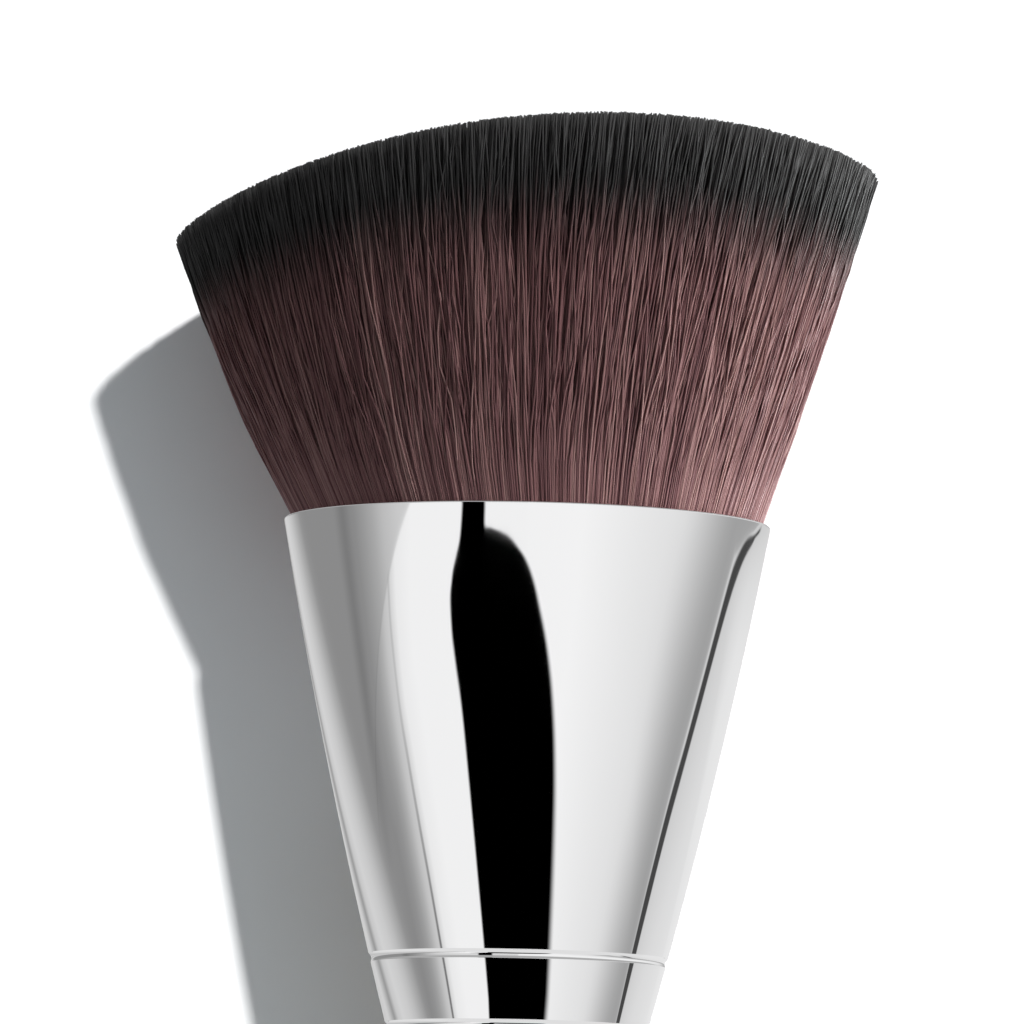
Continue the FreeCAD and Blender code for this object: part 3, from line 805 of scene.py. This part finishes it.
# Each lamp's name, its azimuth and rise in degrees, its distance from the head, its size, level and tint
WHITE = (1.0, 1.0, 1.0)
STAGE_LAMPS = (
    ("shadow_lamp", 11.6, 15.2, 1.0, 0.027, 1.06, WHITE),
    ("stage_fill", 8.0, 0.0, 0.6, 0.32, 0.186, (0.86, 1.0, 1.07)),
)
BRUSH_LAMPS = (
    ("side_lamp", 128.0, 0.0, 0.6, 0.90, 4.50, (0.97, 1.0, 1.0)),
    ("fill_lamp", 55.0, 4.0, 0.6, 0.30, 0.73, WHITE),
    ("high_lamp", 50.0, 55.0, 0.6, 0.30, 0.16, WHITE),
    ("top_lamp", 0.0, 90.0, 0.6, 0.30, 0.70, WHITE),
)


def spread_node(tree, value, places):
    """The share of the way, from 0 to 1, that a socket is from the first place to the last."""
    node = tree.nodes.new("ShaderNodeMapRange")
    node.inputs["From Min"].default_value = places[0][0]
    node.inputs["From Max"].default_value = places[-1][0]
    tree.links.new(value, node.inputs["Value"])
    return node.outputs[0]


def share_of(place, places):
    """The same share for a number."""
    return (place - places[0][0]) / (places[-1][0] - places[0][0])


def curve_node(tree, value, places):
    """A smooth curve through places of (value, result), at a socket's value."""
    low = min(result for _, result in places)
    high = max(result for _, result in places)
    node = tree.nodes.new("ShaderNodeFloatCurve")
    points = node.mapping.curves[0].points
    while len(points) < len(places):
        points.new(0.5, 0.5)
    for point, (place, result) in zip(points, places):
        point.location = (share_of(place, places), (result - low) / (high - low))
        point.handle_type = "AUTO_CLAMPED"
    node.mapping.update()
    tree.links.new(spread_node(tree, value, places), node.inputs["Value"])
    return math_node(tree, "MULTIPLY_ADD", node.outputs[0], high - low, low)


def grey_node(tree, value, levels):
    """The light whose reflection shows as grey levels, at a socket's value."""
    stops = []
    for place, level in levels:
        light = ((level / 255.0 + 0.055) / 1.055) ** 2.4 / CHROME_SHARE
        stops.append((share_of(place, levels), (light, light, light)))
    return ramp_node(tree, spread_node(tree, value, levels), stops)


def step_node(tree, value, edge, soft):
    """0 where a socket is under an edge, 1 where it is over it, and soft in between. The edge and the
    softness are sockets or numbers."""
    past = math_node(tree, "SUBTRACT", value, edge)
    half = math_node(tree, "MULTIPLY", soft, 0.5)
    node = tree.nodes.new("ShaderNodeMapRange")
    node.interpolation_type = "SMOOTHSTEP"
    tree.links.new(math_node(tree, "MULTIPLY", half, -1.0), node.inputs["From Min"])
    tree.links.new(half, node.inputs["From Max"])
    tree.links.new(past, node.inputs["Value"])
    return node.outputs[0]


def line_node(tree, away, half_width, soft, depth):
    """1, but less by a depth along a line, at a socket that is the distance from it."""
    outside = step_node(tree, math_node(tree, "ABSOLUTE", away), half_width, soft)
    missing = math_node(tree, "MULTIPLY", math_node(tree, "SUBTRACT", 1.0, outside), depth)
    return math_node(tree, "SUBTRACT", 1.0, missing)


def left_side(tree, azimuth, rise):
    """The panels to the left: white up to the border, grey past it, and light again far round."""
    past_border = math_node(tree, "SUBTRACT", curve_node(tree, rise, BORDER), azimuth)
    wide = between(tree, rise, *BORDER_SPREAD)
    panel = grey_node(tree, math_node(tree, "DIVIDE", past_border, wide), LEFT_PANEL)
    over_top = step_node(tree, rise, PANEL_TOP, PANEL_TOP_SOFT)
    panel = mix_node(tree, over_top, panel, grey_node(tree, past_border, ABOVE_PANEL))
    depth = math_node(tree, "SUBTRACT", 1.0, over_top)
    depth = math_node(tree, "MULTIPLY", between(tree, rise, *BORDER_DEPTH), depth)
    border_line = line_node(tree, past_border, BORDER_HALF, BORDER_SOFT, depth)
    past_top = math_node(tree, "SUBTRACT", rise, PANEL_TOP)
    top_line = line_node(tree, past_top, TOP_LINE_HALF, TOP_LINE_SOFT, TOP_LINE_DEPTH)
    past_streak = math_node(tree, "SUBTRACT", azimuth, STREAK_AZIMUTH)
    depth = between(tree, rise, *STREAK_DEPTH)
    streak = line_node(tree, past_streak, STREAK_HALF, STREAK_SOFT, depth)
    for shade in (border_line, top_line, streak):
        panel = mix_node(tree, 1.0, panel, shade, "MULTIPLY")
    left_azimuth = math_node(tree, "MULTIPLY", azimuth, -1.0)
    round_far = math_node(tree, "MULTIPLY_ADD", rise, FAR_SLOPE, left_azimuth)
    past_far = step_node(tree, round_far, FAR_EDGE, FAR_SOFT)
    return mix_node(tree, past_far, panel, grey_node(tree, round_far, FAR_LEFT))


def right_side(tree, azimuth, rise):
    """The panels to the right: white in front, darker up to the seam, and light past it."""
    to_seam = math_node(tree, "SUBTRACT", curve_node(tree, rise, SEAM), azimuth)
    half_width = between(tree, rise, *SEAM_LOW_HALF)
    half_width = math_node(tree, "ADD", half_width, between(tree, rise, *SEAM_HIGH_HALF))
    soft = between(tree, rise, *SEAM_SOFT)
    seam = line_node(tree, to_seam, half_width, soft, between(tree, rise, *SEAM_DEPTH))
    closer = between(tree, rise, *SEAM_CLOSER)
    saved = math_node(tree, "SUBTRACT", SEAM_SIDE, math_node(tree, "DIVIDE", SEAM_SIDE, closer))
    far = math_node(tree, "ADD", to_seam, saved)
    near = math_node(tree, "MINIMUM", math_node(tree, "MULTIPLY", to_seam, closer), far)
    shifted = step_node(tree, to_seam, SHIFT_EDGE, SHIFT_SOFT)
    place = math_node(tree, "MULTIPLY_ADD", between(tree, rise, *RIGHT_SHIFT), shifted, near)
    return mix_node(tree, 1.0, grey_node(tree, place, RIGHT_PANEL), seam, "MULTIPLY")


def add_studio():
    """The world: white for the camera, an even light for matt surfaces, and the studio for gloss."""
    world = bpy.data.worlds.new("studio")
    bpy.context.scene.world = world
    world.use_nodes = True
    tree = world.node_tree
    across, back, up = parts_of(tree, tree.nodes.new("ShaderNodeTexCoord").outputs["Generated"])
    front = math_node(tree, "MULTIPLY", back, -1.0)
    azimuth = math_node(tree, "DEGREES", math_node(tree, "ARCTAN2", across, front))
    true_rise = math_node(tree, "DEGREES", math_node(tree, "ARCSINE", up))
    rise = math_node(tree, "MAXIMUM", math_node(tree, "MINIMUM", true_rise, HIGH_RISE), LOW_RISE)

    to_right = step_node(tree, azimuth, 0.0, SIDES_SOFT)
    panels = mix_node(tree, to_right, left_side(tree, azimuth, rise), right_side(tree, azimuth, rise))
    soft = between(tree, rise, *GAP_SOFT)
    past_gap = step_node(tree, azimuth, curve_node(tree, rise, GAP_RIGHT), soft)
    in_gap = step_node(tree, azimuth, curve_node(tree, rise, GAP_LEFT), GAP_LEFT_SOFT)
    gap = math_node(tree, "MULTIPLY", in_gap, math_node(tree, "SUBTRACT", 1.0, past_gap))
    at_back = step_node(tree, math_node(tree, "ABSOLUTE", azimuth), BACK_GAP, BACK_GAP_SOFT)
    over_gap = step_node(tree, rise, BACK_GAP_TOP, BACK_GAP_SOFT)
    back_gap = math_node(tree, "MULTIPLY", at_back, math_node(tree, "SUBTRACT", 1.0, over_gap))
    dark = math_node(tree, "MAXIMUM", gap, back_gap)
    seen = mix_node(tree, dark, panels, (0.0, 0.0, 0.0))
    seen = mix_node(tree, step_node(tree, true_rise, LOW_EDGE, LOW_SOFT), LOW_LIGHT, seen)
    seen = mix_node(tree, step_node(tree, true_rise, HIGH_EDGE, HIGH_SOFT), seen, HIGH_LIGHT)

    path = tree.nodes.new("ShaderNodeLightPath")
    colour = mix_node(tree, path.outputs["Is Glossy Ray"], AMBIENT, seen)
    white = math_node(tree, "MAXIMUM", path.outputs["Is Camera Ray"], path.outputs["Is Transmission Ray"])
    colour = mix_node(tree, white, colour, WHITE)
    tree.links.new(colour, tree.nodes["Background"].inputs[0])


def stage_material(name, fade_axes, fade_range, glow):
    """Matt white that fades out round its middle over a range of distances. Only the camera and matt
    surfaces see it, from its front, and the camera sees it paler by its glow."""
    material, tree, shader = new_material(name)
    shader.inputs["Base Color"].default_value = STAGE_WHITE
    shader.inputs["Roughness"].default_value = 1.0
    shader.inputs["Specular IOR Level"].default_value = 0.0
    place = parts_of(tree, object_place(tree))
    squares = [math_node(tree, "POWER", place[axis], 2.0) for axis in fade_axes]
    out = math_node(tree, "SQRT", math_node(tree, "ADD", *squares))
    faded = smooth_node(tree, out, *fade_range)
    path = tree.nodes.new("ShaderNodeLightPath")
    behind = tree.nodes.new("ShaderNodeNewGeometry").outputs["Backfacing"]
    clear = math_node(tree, "MAXIMUM", faded, behind)
    clear = math_node(tree, "MAXIMUM", clear, path.outputs["Is Shadow Ray"])
    clear = math_node(tree, "MAXIMUM", clear, path.outputs["Is Glossy Ray"])
    tree.links.new(math_node(tree, "SUBTRACT", 1.0, clear), shader.inputs["Alpha"])
    shader.inputs["Emission Color"].default_value = (*WHITE, 1.0)
    seen_glow = math_node(tree, "MULTIPLY", path.outputs["Is Camera Ray"], glow)
    tree.links.new(seen_glow, shader.inputs["Emission Strength"])
    return material


def add_stage(name, centre, across, up, reach):
    """A square plane round a centre, as part of the stage. It faces the way of across x up."""
    signs = ((-1, -1), (1, -1), (1, 1), (-1, 1))
    corners = [(across * aside + up * above) * reach for aside, above in signs]
    mesh = bpy.data.meshes.new(name)
    mesh.from_pydata([tuple(corner) for corner in corners], [], [(0, 1, 2, 3)])
    plane = new_object(name, mesh)
    plane.location = centre
    return plane


def add_lamp(lit, name, azimuth, rise, distance, size, level, tint):
    """A square soft lamp that faces the head from an azimuth, 0 in front and 90 at +X, and a rise, and
    lights only some objects. At level 1 a matt surface that faces it shows about its own colour."""
    data = bpy.data.lights.new(name, "AREA")
    data.size = size
    data.color = tint
    data.energy = level * (math.pi * distance) ** 2
    lamp = bpy.data.objects.new(name, data)
    bpy.context.scene.collection.objects.link(lamp)
    turn, up = math.radians(azimuth), math.radians(rise)
    away = Vector((math.cos(up) * math.sin(turn), -math.cos(up) * math.cos(turn), math.sin(up)))
    facing = away.to_track_quat("Z", "Y").to_matrix().to_4x4()
    lamp.matrix_world = Matrix.Translation(AIM + away * distance) @ facing
    group = bpy.data.collections.new("lit_by_" + name)
    for item in lit:
        group.objects.link(item)
    lamp.light_linking.receiver_collection = group


add_studio()
wall = add_stage("wall", WALL_MIDDLE, Vector((1, 0, 0)), WALL_UP, WALL_REACH)
wall.data.materials.append(stage_material("matt_wall", (0, 2), WALL_FADE, WALL_GLOW))
floor = add_stage("floor", Vector((0.0, 0.0, 0.0)), Vector((1, 0, 0)), Vector((0, 1, 0)), FLOOR_REACH)
floor.data.materials.append(stage_material("matt_floor", (0, 1), FLOOR_FADE, FLOOR_GLOW))
others = (wall, floor, shell)
matt = [item for item in bpy.context.scene.objects if item.type == "MESH" and item not in others]
for row in STAGE_LAMPS:
    add_lamp((wall, floor), *row)
for row in BRUSH_LAMPS:
    add_lamp(matt, *row)
shell.visible_diffuse = False

bpy.context.scene.view_settings.view_transform = "Standard"

bpy.context.view_layer.update()
